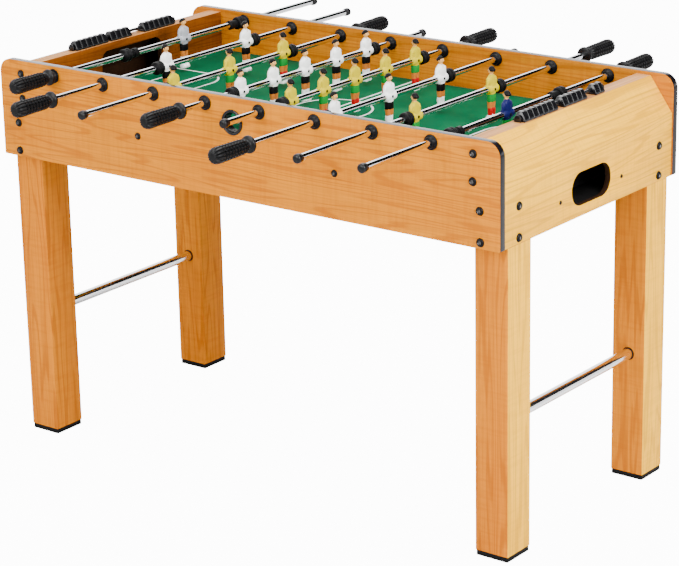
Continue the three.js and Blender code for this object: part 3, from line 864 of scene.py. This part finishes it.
cup_black = moulded("cup_black", rgb(8, 8, 9), 0.2, grain=400.0, relief=0.02, coat=0.15, gleam=0.12)
cup_radius = (cup_high.x - cup_low.x) / 2
face_y = panel_low.y
cup_profile = [
    (18.0 * MM, cup_high.y),
    (18.0 * MM, cup_low.y + 6 * MM),
    (18.6 * MM, cup_low.y + 2.6 * MM),
    (20.2 * MM, cup_low.y + 0.5 * MM),
    (21.6 * MM, cup_low.y),
    (cup_radius - 1.6 * MM, cup_low.y + 0.5 * MM),
    (cup_radius - 0.3 * MM, cup_low.y + 1.4 * MM),
    (cup_radius, face_y - 0.4 * MM),
    (cup_radius - 0.3 * MM, face_y - 0.1 * MM),
    (21.0 * MM, face_y - 0.1 * MM),
    (21.0 * MM, cup_high.y - 0.6 * MM),
    (20.6 * MM, cup_high.y),
]
cup_at = (cup_centre.x, cup_centre.z)
tied = ("cabinet", "black_plastic", "ball_entry_cup")
turned_piece("ball_entry_cup_ring", cup_profile, cup_at, cup_black, *tied, sides=72)

# ---------------------------------------------------------------------------------------------------
# Rods. Eight chromed steel tubes. The end without a grip carries a black safety cap.

steel = chromed("rod_chrome", 0.04, 0.12)
cap_black = moulded("rod_cap_black", rgb(11, 11, 13), 0.28, grain=800.0, relief=0.04, coat=0.2, gleam=0.07)
TUBE_WALL = 1.45 * MM
TUBE_LIP = 0.4 * MM
CAP = [  # (radius, distance from the tube's end, outwards)
    (0.0, 4.0), (3.0, 3.9), (6.0, 3.4), (7.8, 2.4), (8.6, 0.8), (8.7, -1.5), (8.7, -6.0), (8.3, -7.4),
    (7.7, -8.2), (7.5, -9.0), (7.5, -11.2), (7.2, -12.0), (6.45, -12.0), (6.45, 0.3), (0.0, 0.3),
]

tail_side = {}
for number, rod_at in enumerate(rod_axes, start=1):
    low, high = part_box(f"rod_{number}_tube")
    profile = pipe((high.x - low.x) / 2, TUBE_WALL, TUBE_LIP, low.y, high.y)
    tied = (f"rod_{number}", "chrome_tube", f"rod_{number}_tube")
    turned_piece(f"rod_{number}_bar", profile, rod_at, steel, *tied, sharp=30.0)
    way = 1 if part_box(f"rod_{number}_grip")[0].y < middle_y else -1
    tail_side[number] = way
    profile = along_y(CAP, high.y if way > 0 else low.y, way)
    tied = (f"rod_{number}", "black_plastic")
    turned_piece(f"rod_{number}_cap", profile, rod_at, cap_black, *tied, sides=36, closed=False)

# ---------------------------------------------------------------------------------------------------
# Grips. Soft black handles, ribbed along and across for most of their length, with a plain collar at
# the inner end and a rounded outer end.

grip_black = moulded("grip_black", rgb(9, 9, 10), 0.34, grain=1300.0, relief=0.1, gleam=0.12)
GRIP_SIDES, GRIP_RIBS = 112, 14
BORE_DEPTH = 69.7
RIB_DEPTH = 2.1 * MM
GRIP = [  # (distance from the inner end, radius, how ribbed)
    (0, 6.7, 0), (0, 14.6, 0), (0.7, 15.8, 0), (2.2, 16.5, 0), (4.6, 16.5, 0), (6.4, 15.8, 0),
    (7.6, 13.4, 0), (8.8, 11.4, 0), (10.5, 10.4, 0), (15.5, 10.4, 0), (17.5, 11.3, 0.1), (19.0, 12.8, 0.7),
    (20.0, 13.6, 1),
]
GRIP_BODY = [(21, 14.1), (28, 14.7), (60, 15.0), (80, 15.6), (87, 15.8), (94, 15.4)]
GRIP_END = [
    (98, 14.5, 1), (101.5, 12.6, 1), (103.8, 10.2, 0.9), (104.8, 7.6, 0.6), (105, 5.0, 0.2), (105, 0, 0),
]
CROSS_START, CROSS_END, CROSS_PITCH, CROSS_DEPTH = 25, 84, 8.2, 2.2
CROSS_GROOVE = ((-2.0, 0.0), (-1.0, 1.0), (1.0, 1.0), (2.0, 0.0))  # (distance from its middle, how deep)


def body_radius(along):
    """The grip's radius between its listed stations."""
    for (a, one), (b, two) in zip(GRIP_BODY, GRIP_BODY[1:]):
        if along <= b:
            return one + (two - one) * (along - a) / (b - a)
    return GRIP_BODY[-1][1]


rows = list(GRIP)
station = CROSS_START
while station < CROSS_END:
    for shift, sunk in CROSS_GROOVE:
        rows.append((station + shift, body_radius(station + shift) - sunk * CROSS_DEPTH, 1))
    station += CROSS_PITCH
rows += [(94, body_radius(94), 1)] + GRIP_END


def grip_mesh(inner_y, way, x, z):
    """A ribbed handle that starts at inner_y and runs outwards, over the end of the rod."""
    raw = bmesh.new()
    rings = []
    for along, radius, ribbed in rows:
        y = inner_y + way * along * MM
        if radius == 0:
            rings.append([raw.verts.new((x, y, z))])
            continue
        ring = []
        for i in range(GRIP_SIDES):
            angle = 2 * math.pi * i / GRIP_SIDES
            groove = max(0.0, math.cos(angle * GRIP_RIBS) - 0.25) / 0.75
            r = radius * MM - ribbed * RIB_DEPTH * groove
            ring.append(raw.verts.new((x + r * math.cos(angle), y, z + r * math.sin(angle))))
        rings.append(ring)
    for one, two in zip(rings, rings[1:]):
        for i in range(GRIP_SIDES):
            j = (i + 1) % GRIP_SIDES
            quad = [one[i], one[j], two[j % len(two)], two[i % len(two)]]
            raw.faces.new(list(dict.fromkeys(quad)))
    bore = [raw.verts.new((v.co.x, inner_y + way * BORE_DEPTH * MM, v.co.z)) for v in rings[0]]
    for i in range(GRIP_SIDES):
        j = (i + 1) % GRIP_SIDES
        raw.faces.new((rings[0][i], rings[0][j], bore[j], bore[i]))
    raw.faces.new(bore)
    bmesh.ops.recalc_face_normals(raw, faces=raw.faces[:])
    return mesh_from(raw, "grip")


for number, (x, z) in enumerate(rod_axes, start=1):
    low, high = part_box(f"rod_{number}_grip")
    way = -tail_side[number]
    inner_y = low.y if way > 0 else high.y
    handle = add_object(f"rod_{number}_handle", grip_mesh(inner_y, way, x, z), grip_black)
    smooth(handle, 32.0)
    fix(handle, f"rod_{number}", "grip_black", f"rod_{number}_grip")

# ---------------------------------------------------------------------------------------------------
# Bumpers. A soft black spool on each side of every team stops it against the bearings. The goalkeeper
# rods carry a longer sleeve and a lock ring behind each spool.

bumper_black = moulded("bumper_rubber", rgb(11, 11, 12), 0.45, grain=1500.0, relief=0.15, gleam=0.07)
SPOOL = [  # (radius, distance from the middle)
    (6.65, -9), (10, -9), (11.6, -8.7), (12.9, -7.9), (13.5, -6.6), (13.5, -4.2), (12.9, -2.9), (11.5, -2.2),
    (11.1, -1.6), (11.1, 0.4), (11.8, 1.0), (13.0, 1.6), (13.5, 2.8), (13.5, 6.4), (12.9, 7.9), (11.6, 8.7),
    (10, 9), (6.65, 9),
]
SLEEVE = [(6.65, -9.3), (8.0, -9.3), (8.2, -9.8), (8.2, -20.6), (8.0, -21), (6.65, -21)]
LOCK_RING = [(6.65, -21.2), (9.2, -21.2), (9.8, -21.8), (9.8, -32.4), (9.2, -33), (6.65, -33)]

for number, rod_at in enumerate(rod_axes, start=1):
    low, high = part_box(f"rod_{number}_bumper")
    keeper = number in (1, 8)
    figures = ["goalkeeper"] if keeper else [f"player_{i}" for i in range(1, 6)]
    middles = []
    for figure in figures:
        if f"rod_{number}_{figure}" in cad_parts:
            one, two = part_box(f"rod_{number}_{figure}")
            middles.append((one.y + two.y) / 2)
    centre = (min(middles) + max(middles)) / 2
    reach = (low.y + high.y) / 2 - centre
    body = f"rod_{number}_bumpers"
    for side, way in (("back", 1), ("front", -1)):
        at = centre + way * reach
        tied = (body, "bumper_rubber", f"rod_{number}_bumper") if way > 0 else (body, "bumper_rubber")
        name = f"rod_{number}_bumper_{side}"
        turned_piece(name, along_y(SPOOL, at, way), rod_at, bumper_black, *tied, sharp=36.0)
        for part, shape in (("sleeve", SLEEVE), ("lock_ring", LOCK_RING)) if keeper else ():
            name = f"rod_{number}_{part}_{side}"
            profile = along_y(shape, at, way)
            tied = (body, "bumper_rubber")
            turned_piece(name, profile, rod_at, bumper_black, *tied, sides=36, sharp=36.0)

# ---------------------------------------------------------------------------------------------------
# Players. Small moulded men with a barrel at the waist that the rod runs through, pinned from the
# front. Each has a shirt with arms, shorts, bare thighs, socks and boots, a simple face and hair.

leg_skin = moulded("player_leg_skin", rgb(188, 108, 39), 0.45, grain=700.0, relief=0.03, gleam=0.15)
skin = moulded("player_skin", rgb(221, 162, 89), 0.45, grain=700.0, relief=0.03)
hair = moulded("player_hair", rgb(8, 7, 7), 0.35, grain=2600.0, relief=0.5, gleam=0.07)
pin_black = moulded("player_pin", rgb(12, 12, 13), 0.35, grain=500.0, relief=0.02, gleam=0.07)
kit_white = moulded("white_kit", rgb(250, 250, 248), 0.34, grain=500.0, relief=0.03, mottle=0.02, coat=0.2)
kit_yellow = moulded("yellow_kit", rgb(194, 173, 0), 0.4, grain=500.0, relief=0.03, mottle=0.03, gleam=0.08)
kit_grey = moulded("grey_kit", rgb(150, 152, 158), 0.38, grain=500.0, relief=0.03, mottle=0.03)
kit_blue = moulded("blue_kit", rgb(16, 20, 72), 0.38, grain=500.0, relief=0.03, mottle=0.03, gleam=0.1)
shorts_black = moulded("black_shorts", rgb(9, 9, 10), 0.4, grain=500.0, relief=0.03, gleam=0.07)
shorts_green = moulded("green_shorts", rgb(6, 122, 44), 0.4, grain=500.0, relief=0.03, gleam=0.1)
socks_red = moulded("red_socks", rgb(176, 12, 16), 0.4, grain=500.0, relief=0.03, gleam=0.1)

SHIRT, SHORTS, SKIN, SOCKS, BOOTS, HAIR, PIN, THIGH = range(8)


def skinned(raw, rings, finish):
    """Closes a stack of rings of points into one skin, with flat ends."""
    loops = [[raw.verts.new(point) for point in ring] for ring in rings]
    made = [raw.faces.new(loops[0]), raw.faces.new(loops[-1])]
    for one, two in zip(loops, loops[1:]):
        for i in range(len(one)):
            j = (i + 1) % len(one)
            made.append(raw.faces.new((one[i], one[j], two[j], two[i])))
    for face in made:
        face.material_index = finish
    bmesh.ops.recalc_face_normals(raw, faces=made)


def lofted(raw, sections, finish, steps=28, power=2.4):
    """A body of level sections, each (z, middle x, middle y, half depth, half width)."""
    rings = []
    for z, x, y, depth, width in sections:
        ring = []
        for i in range(steps):
            angle = 2 * math.pi * (i + 0.5) / steps
            c, s = math.cos(angle), math.sin(angle)
            a = x + depth * math.copysign(abs(c) ** (2 / power), c)
            b = y + width * math.copysign(abs(s) ** (2 / power), s)
            ring.append((a * MM, b * MM, z * MM))
        rings.append(ring)
    skinned(raw, rings, finish)


def limb(raw, stations, finish, steps=16):
    """A round limb through stations, each (x, y, z, radius), with rounded ends."""
    rings = []
    for k, (x, y, z, radius) in enumerate(stations):
        before = Vector(stations[max(k - 1, 0)][:3])
        after = Vector(stations[min(k + 1, len(stations) - 1)][:3])
        along = (after - before).normalized()
        across = along.orthogonal().normalized()
        other = along.cross(across)
        ends = [(0.0, 1.0)]
        if k == 0:
            ends = [(-0.55, 0.45), (-0.35, 0.82), (0.0, 1.0)]
        if k == len(stations) - 1:
            ends = [(0.0, 1.0), (0.35, 0.82), (0.55, 0.45)]
        for shift, share in ends:
            middle = Vector((x, y, z)) + along * shift * radius
            ring = []
            for i in range(steps):
                angle = 2 * math.pi * i / steps
                point = middle + (across * math.cos(angle) + other * math.sin(angle)) * radius * share
                ring.append(tuple(point * MM))
            rings.append(ring)
    skinned(raw, rings, finish)


def player_mesh(name, finishes):
    """One man at the origin, facing +X, with the rod along Y through his waist."""
    raw = bmesh.new()
    shirt = [
        (-10.5, 0.2, 0, 6.4, 9.4), (-7, 0.1, 0, 7.2, 10.4), (0, 0, 0, 7.6, 11.0), (7, 0.2, 0, 7.2, 10.8),
        (13, 0.4, 0, 6.9, 11.4), (18, 0.4, 0, 6.7, 12.2), (22, 0.1, 0, 6.1, 11.6), (25, -0.2, 0, 5.2, 9.0),
        (27, -0.3, 0, 4.4, 6.0), (28.2, -0.3, 0, 3.8, 4.4),
    ]
    lofted(raw, shirt, SHIRT)
    arm = [(0, 10.4, 20.5, 4.2), (-0.4, 12.2, 14.5, 3.9), (-0.2, 12.8, 8, 3.5), (1.6, 12.4, 3, 3.2)]
    arm.append((3.4, 11.6, -1.5, 3.0))
    hand = [(4.2, 10.8, -4.2, 2.6), (4.8, 9.8, -6.6, 2.2)]
    for side in (-1, 1):
        limb(raw, [(x, side * y, z, radius) for x, y, z, radius in arm], SHIRT)
        limb(raw, [(x, side * y, z, radius) for x, y, z, radius in hand], SKIN, steps=14)
    # The barrel is a plain tube round the rod, wider than the waist
    barrel = []
    for along, radius in ((-15, 7.6), (-14.6, 8.7), (-13.6, 9.2), (13.6, 9.2), (14.6, 8.7), (15, 7.6)):
        barrel.append([(a, along * MM, b) for a, b in circle(0.0, 0.0, radius * MM, 32)])
    skinned(raw, barrel, SHIRT)
    shorts = [
        (-25, 0, 0, 6.0, 10.2), (-24, 0, 0, 6.4, 10.7), (-17, 0, 0, 6.7, 10.6), (-11, 0, 0, 6.6, 10.0),
        (-8.5, 0, 0, 6.0, 9.2),
    ]
    lofted(raw, shorts, SHORTS)
    thigh = [(-38, 0.2, 4.6, 4.1, 4.3), (-35, 0.4, 4.7, 4.5, 4.5), (-30, 0.2, 4.9, 4.9, 4.8)]
    thigh.append((-24.4, 0, 5.0, 5.4, 5.0))
    sock = [
        (-53, -0.2, 4.6, 4.0, 4.0), (-49, -0.3, 4.6, 4.2, 4.1), (-44, -0.6, 4.6, 4.9, 4.5),
        (-39.5, -0.3, 4.6, 4.7, 4.5), (-38.2, -0.1, 4.6, 4.8, 4.6), (-37, 0, 4.6, 4.4, 4.2),
    ]
    boot = [
        (-62, 0.2, 4.8, 6.4, 4.6), (-61.2, 0.4, 4.8, 7.2, 5.0), (-58.4, 0.9, 4.8, 8.2, 5.2),
        (-55.5, 0.8, 4.8, 7.4, 5.0), (-53, 0.2, 4.7, 5.8, 4.6), (-51.2, -0.1, 4.6, 4.8, 4.4),
    ]
    for side in (-1, 1):
        for sections, finish, power in ((thigh, THIGH, 2.4), (sock, SOCKS, 2.4), (boot, BOOTS, 2.8)):
            placed = [(z, x, side * y, depth, width) for z, x, y, depth, width in sections]
            lofted(raw, placed, finish, steps=22, power=power)
    # The block between the boots is what strikes the ball
    toe = [(-61.6, 0, 0, 5.6, 4), (-60.5, 0, 0, 6.2, 4), (-53, 0, 0, 5.4, 4), (-50, 0, 0, 3.4, 3)]
    lofted(raw, toe, BOOTS)
    lofted(raw, [(26, 0, 0, 3.2, 3.3), (28, 0.2, 0, 3.0, 3.1), (31.5, 0.4, 0, 3.1, 3.2)], SKIN, steps=20)
    collar = [(3.2, -2.6, 27.6, 1.0), (5.4, 0, 22.4, 1.1), (3.2, 2.6, 27.6, 1.0)]
    limb(raw, collar, SKIN, steps=12)
    head = []
    for step in range(11):
        turn = math.pi * (0.06 + 0.88 * step / 10)
        z = 35.8 - 6.9 * math.cos(turn)
        head.append((z, 0.5, 0, 6.1 * math.sin(turn), 5.4 * math.sin(turn)))
    lofted(raw, head, SKIN, steps=24, power=2.1)
    cap = []
    for step in range(9):
        turn = math.pi * (0.42 + 0.54 * step / 8)
        z = 36.7 - 7.9 * math.cos(turn)
        back = -0.7 if step > 2 else -1.9
        cap.append((z, back, 0, 6.9 * math.sin(turn), (6.25 + 0.3 * (step % 2)) * math.sin(turn)))
    lofted(raw, cap, HAIR, steps=24, power=2.1)
    limb(raw, [(5.9, 0, 36.8, 0.9), (7.3, 0, 34.9, 1.2)], SKIN, steps=12)
    for side in (-1, 1):
        limb(raw, [(5.6, side * 2.1, 37.2, 0.75), (6.25, side * 2.2, 37.2, 0.6)], PIN, steps=12)
        limb(raw, [(0.2, side * 5.2, 36.4, 1.3), (0.2, side * 5.6, 34.9, 1.1)], SKIN, steps=12)
    limb(raw, [(5.8, -1.5, 32.6, 0.45), (6.2, 0, 32.2, 0.5), (5.8, 1.5, 32.6, 0.45)], PIN, steps=10)
    # The pin through the barrel shows as a black dot in front and behind
    for way in (-1, 1):
        dot = []
        for away, radius in ((7.6, 2.8), (9.5, 2.8), (9.9, 2.3)):
            dot.append([(way * away * MM, a, b) for a, b in circle(0.0, 0.0, radius * MM, 20)])
        skinned(raw, dot, PIN)
    mesh = mesh_from(raw, name)
    for finish in finishes:
        mesh.materials.append(finish)
    return mesh


KITS = {  # (shirt, shorts, socks)
    "white": (kit_white, shorts_black, kit_white),
    "yellow": (kit_yellow, shorts_green, socks_red),
    "white_keeper": (kit_grey, shorts_black, kit_white),
    "yellow_keeper": (kit_blue, shorts_green, socks_red),
}
men = {}
for kit, (shirt, shorts, socks) in KITS.items():
    men[kit] = player_mesh(kit, [shirt, shorts, skin, socks, kit_white, hair, pin_black, leg_skin])
WHITE_RODS = (1, 2, 4, 6)

for number, (x, z) in enumerate(rod_axes, start=1):
    team = "white" if number in WHITE_RODS else "yellow"
    turn = Matrix.Rotation(0.0 if team == "white" else math.pi, 4, "Z")
    for figure in ["goalkeeper"] + [f"player_{i}" for i in range(1, 6)]:
        node = f"rod_{number}_{figure}"
        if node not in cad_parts:
            continue
        low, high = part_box(node)
        model = men[team + "_keeper" if figure == "goalkeeper" else team].copy()
        model.transform(Matrix.Translation((x, (low.y + high.y) / 2, z)) @ turn)
        man = add_object(node + "_figure", model)
        smooth(man, 48.0)
        fix(man, f"rod_{number}", f"{team}_player", node)

# ---------------------------------------------------------------------------------------------------
# Scorers. On each end shelf a black rail carries a row of square beads. Part of the row is parked and
# one block of it slides along the rail to keep the score.

bead_black = moulded("scorer_black", rgb(11, 11, 13), 0.28, grain=900.0, relief=0.04, coat=0.6, gleam=0.07)
BEAD_PITCH = 16 * MM
BEAD_DEPTH, BEAD_TOP_DEPTH = 26 * MM, 9 * MM
BEAD_WIDTH, BEAD_TOP_WIDTH = 15.5 * MM, 11 * MM
BEAD_HEIGHT, BEAD_WAIST = 18.5 * MM, 4 * MM
RAIL_RADIUS, RAIL_BORE = 3.2 * MM, 3.6 * MM
RAIL_HEIGHT = 8.4 * MM
RAIL_ENDS = {"left": (-165 * MM, 147 * MM), "right": (-148 * MM, 131 * MM)}
POST_THICK, POST_HALF, POST_HEIGHT, POST_CORNER = 3 * MM, 7 * MM, 13 * MM, 6 * MM
PARKED = {"left": [(-155, 6), (-50, 4)], "right": [(-138, 7), (104, 2)]}  # (middle of the first bead, beads)

raw = bmesh.new()
levels = (
    (CLEARANCE, BEAD_DEPTH, BEAD_WIDTH),
    (BEAD_WAIST, BEAD_DEPTH, BEAD_WIDTH),
    (BEAD_HEIGHT, BEAD_TOP_DEPTH, BEAD_TOP_WIDTH),
)
shape = [[(a * depth / 2, b * width / 2, height) for a, b in CORNERS] for height, depth, width in levels]
skinned(raw, shape, 0)
bead = add_object("bead", mesh_from(raw, "bead"))
ease(bead, 0.9 * MM, steps=3, sharp=20.0)
cut(bead, board("bore", circle(0.0, RAIL_HEIGHT, RAIL_BORE, 24), "Y", (-BEAD_WIDTH, BEAD_WIDTH)))

for end in ENDS:
    low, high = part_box(f"score_beads_{end}")
    shelf_top = low.z
    middle_x = (low.x + high.x) / 2
    count = round((high.y - low.y) / BEAD_PITCH)
    moving = [low.y + (i + 0.5) * (high.y - low.y) / count for i in range(count)]
    parked = [middle_y + at * MM + i * BEAD_PITCH for at, beads in PARKED[end] for i in range(beads)]
    for kind, places, tied in (
        ("block", moving, (f"score_beads_{end}", "black_plastic", f"score_beads_{end}")),
        ("parked", parked, ("cabinet", "black_plastic")),
    ):
        spots = [((middle_x, y, shelf_top), (0.0, 1.0, 0.0), 1.0) for y in places]
        fix(row_of(f"score_beads_{end}_{kind}", bead.data.copy(), bead_black, spots), *tied)
    front_y, back_y = (middle_y + at for at in RAIL_ENDS[end])
    profile = [(0.0, front_y), (RAIL_RADIUS, front_y), (RAIL_RADIUS, back_y), (0.0, back_y)]
    rail_at = (middle_x, shelf_top + RAIL_HEIGHT)
    tied = ("cabinet", "black_plastic")
    turned_piece(f"score_rail_{end}", profile, rail_at, bead_black, *tied, sides=24, closed=False)
    foot, top = (middle_x - POST_HALF, shelf_top + CLEARANCE), (middle_x + POST_HALF, shelf_top + POST_HEIGHT)
    for side, near in (("front", front_y), ("back", back_y)):
        span = (near, near + SIDES[side] * POST_THICK)
        outline = rectangle(foot, top, 0.0, POST_CORNER, steps=6)
        post = board(f"score_post_{end}_{side}", outline, "Y", span, bead_black)
        ease(post, 0.8 * MM)
        fix(post, "cabinet", "black_plastic")
bpy.data.objects.remove(bead)
